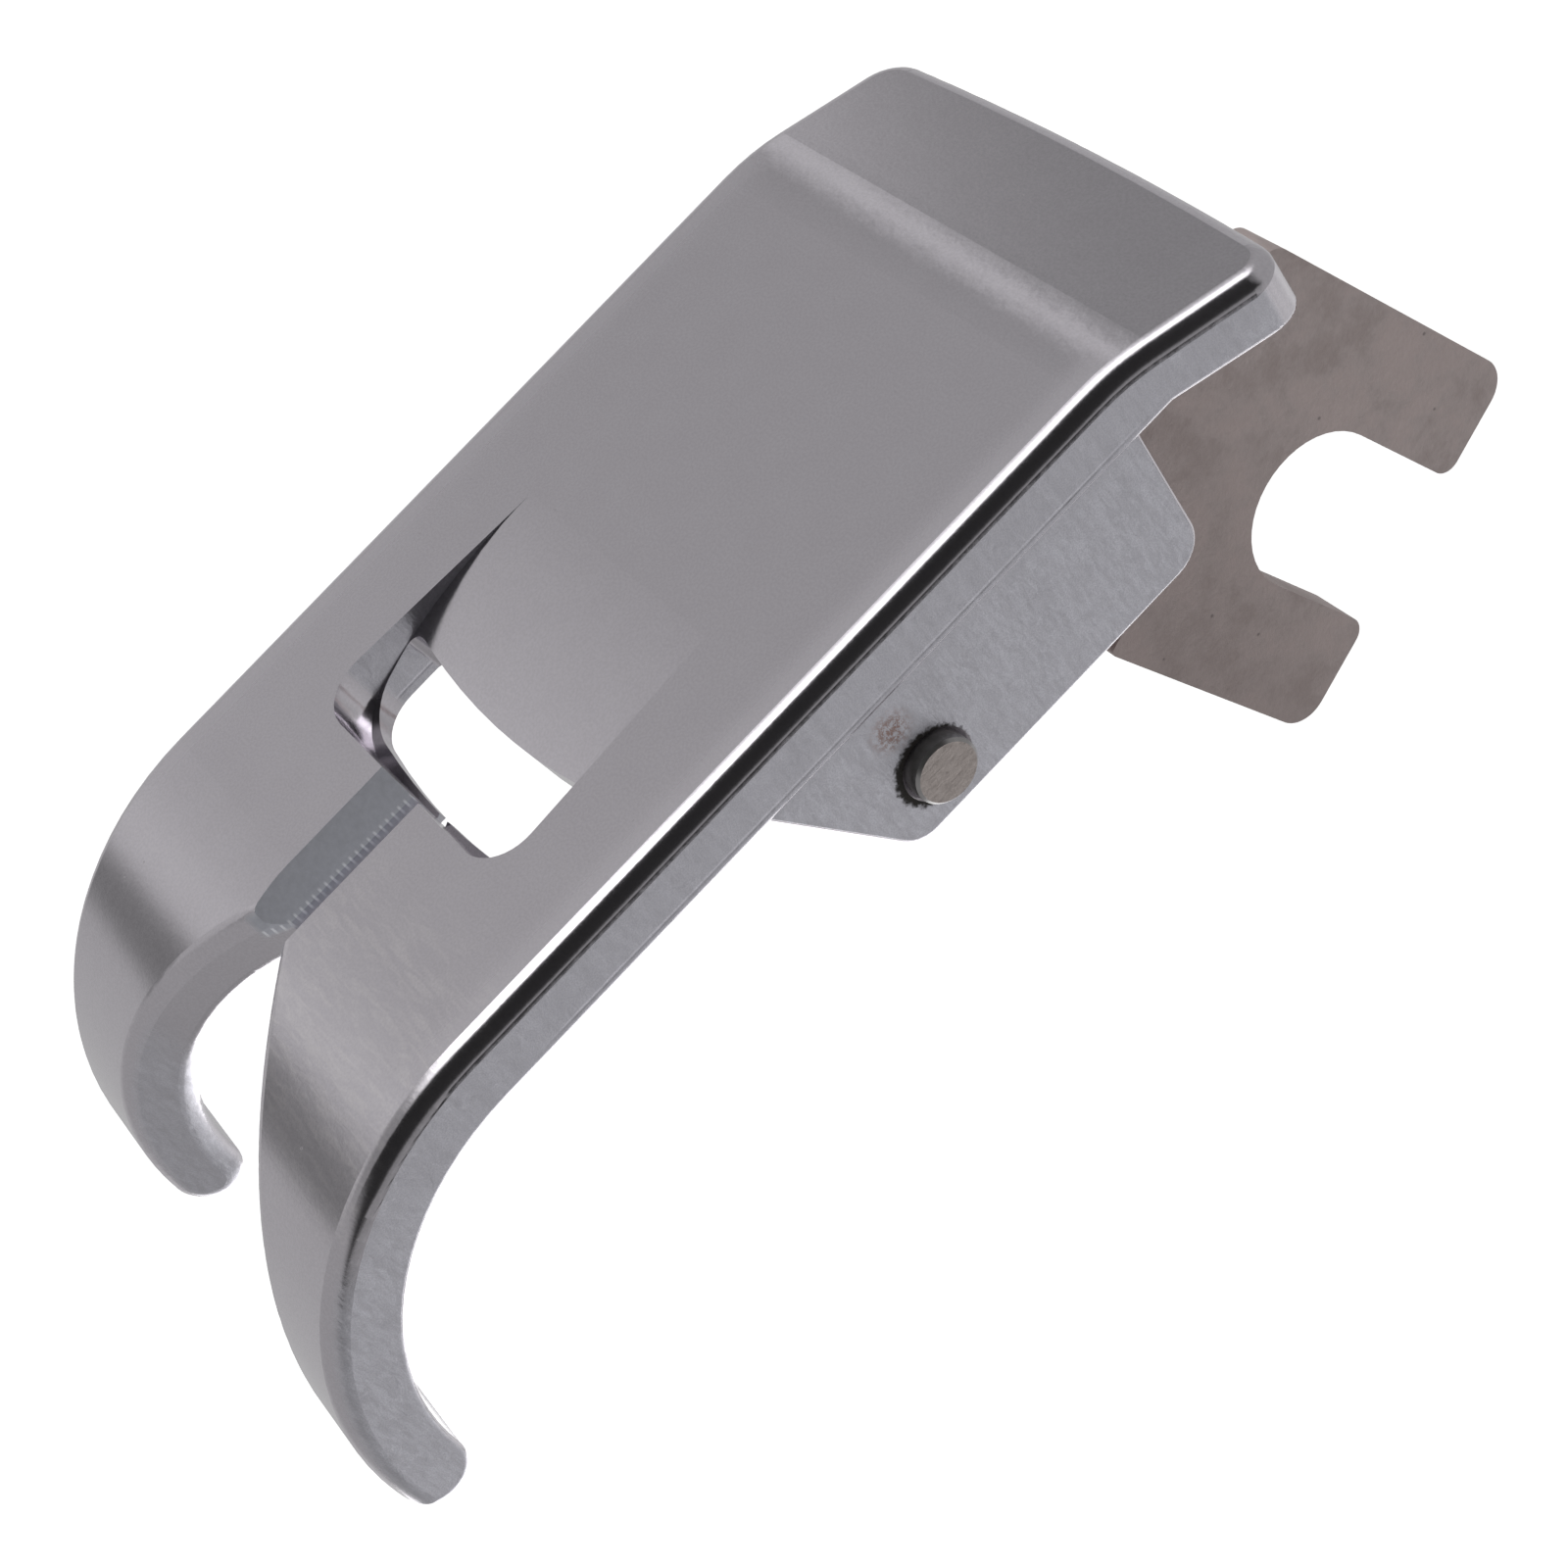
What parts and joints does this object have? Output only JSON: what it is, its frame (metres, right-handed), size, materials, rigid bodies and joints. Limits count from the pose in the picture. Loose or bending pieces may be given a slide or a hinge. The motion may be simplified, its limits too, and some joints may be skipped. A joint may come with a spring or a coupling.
{
  "type": "sewing machine presser foot",
  "caption": "Hinged presser foot: plated sole with two curled toes, needle hole and ears, on a pressed-steel fork shank.",
  "frame": {"origin": "on the sole's flat face, straight below the hinge pin and half-way across the foot", "axes": "+Z from the sole up to the shank, +Y from the toes to the heel, +X across the foot along the hinge pin"},
  "size_m": [0.0156, 0.0357, 0.0143],
  "materials": {
    "plated_sole": "satin-gloss chrome plate over a cast or pressed blank",
    "shank_steel": "matt, dull phosphated steel",
    "pin_steel": "sheared, unplated steel",
    "spring_steel": "drawn spring wire"
  },
  "bodies": {
    "sole": {"sole": "plated_sole", "hinge_pin": "pin_steel", "torsion_spring": "spring_steel"},
    "shank": {"shank": "shank_steel"}
  },
  "joints": [
    {"name": "shank_hinge", "type": "hinge", "parent": "sole", "child": "shank", "pos_m": [0, 0, 0.00415], "axis": [1, 0, 0], "range_deg": [0, 40], "stiffness_Nm_per_rad": 0.0015, "springref_deg": -34.38, "deforming": ["torsion_spring"]}
  ]
}
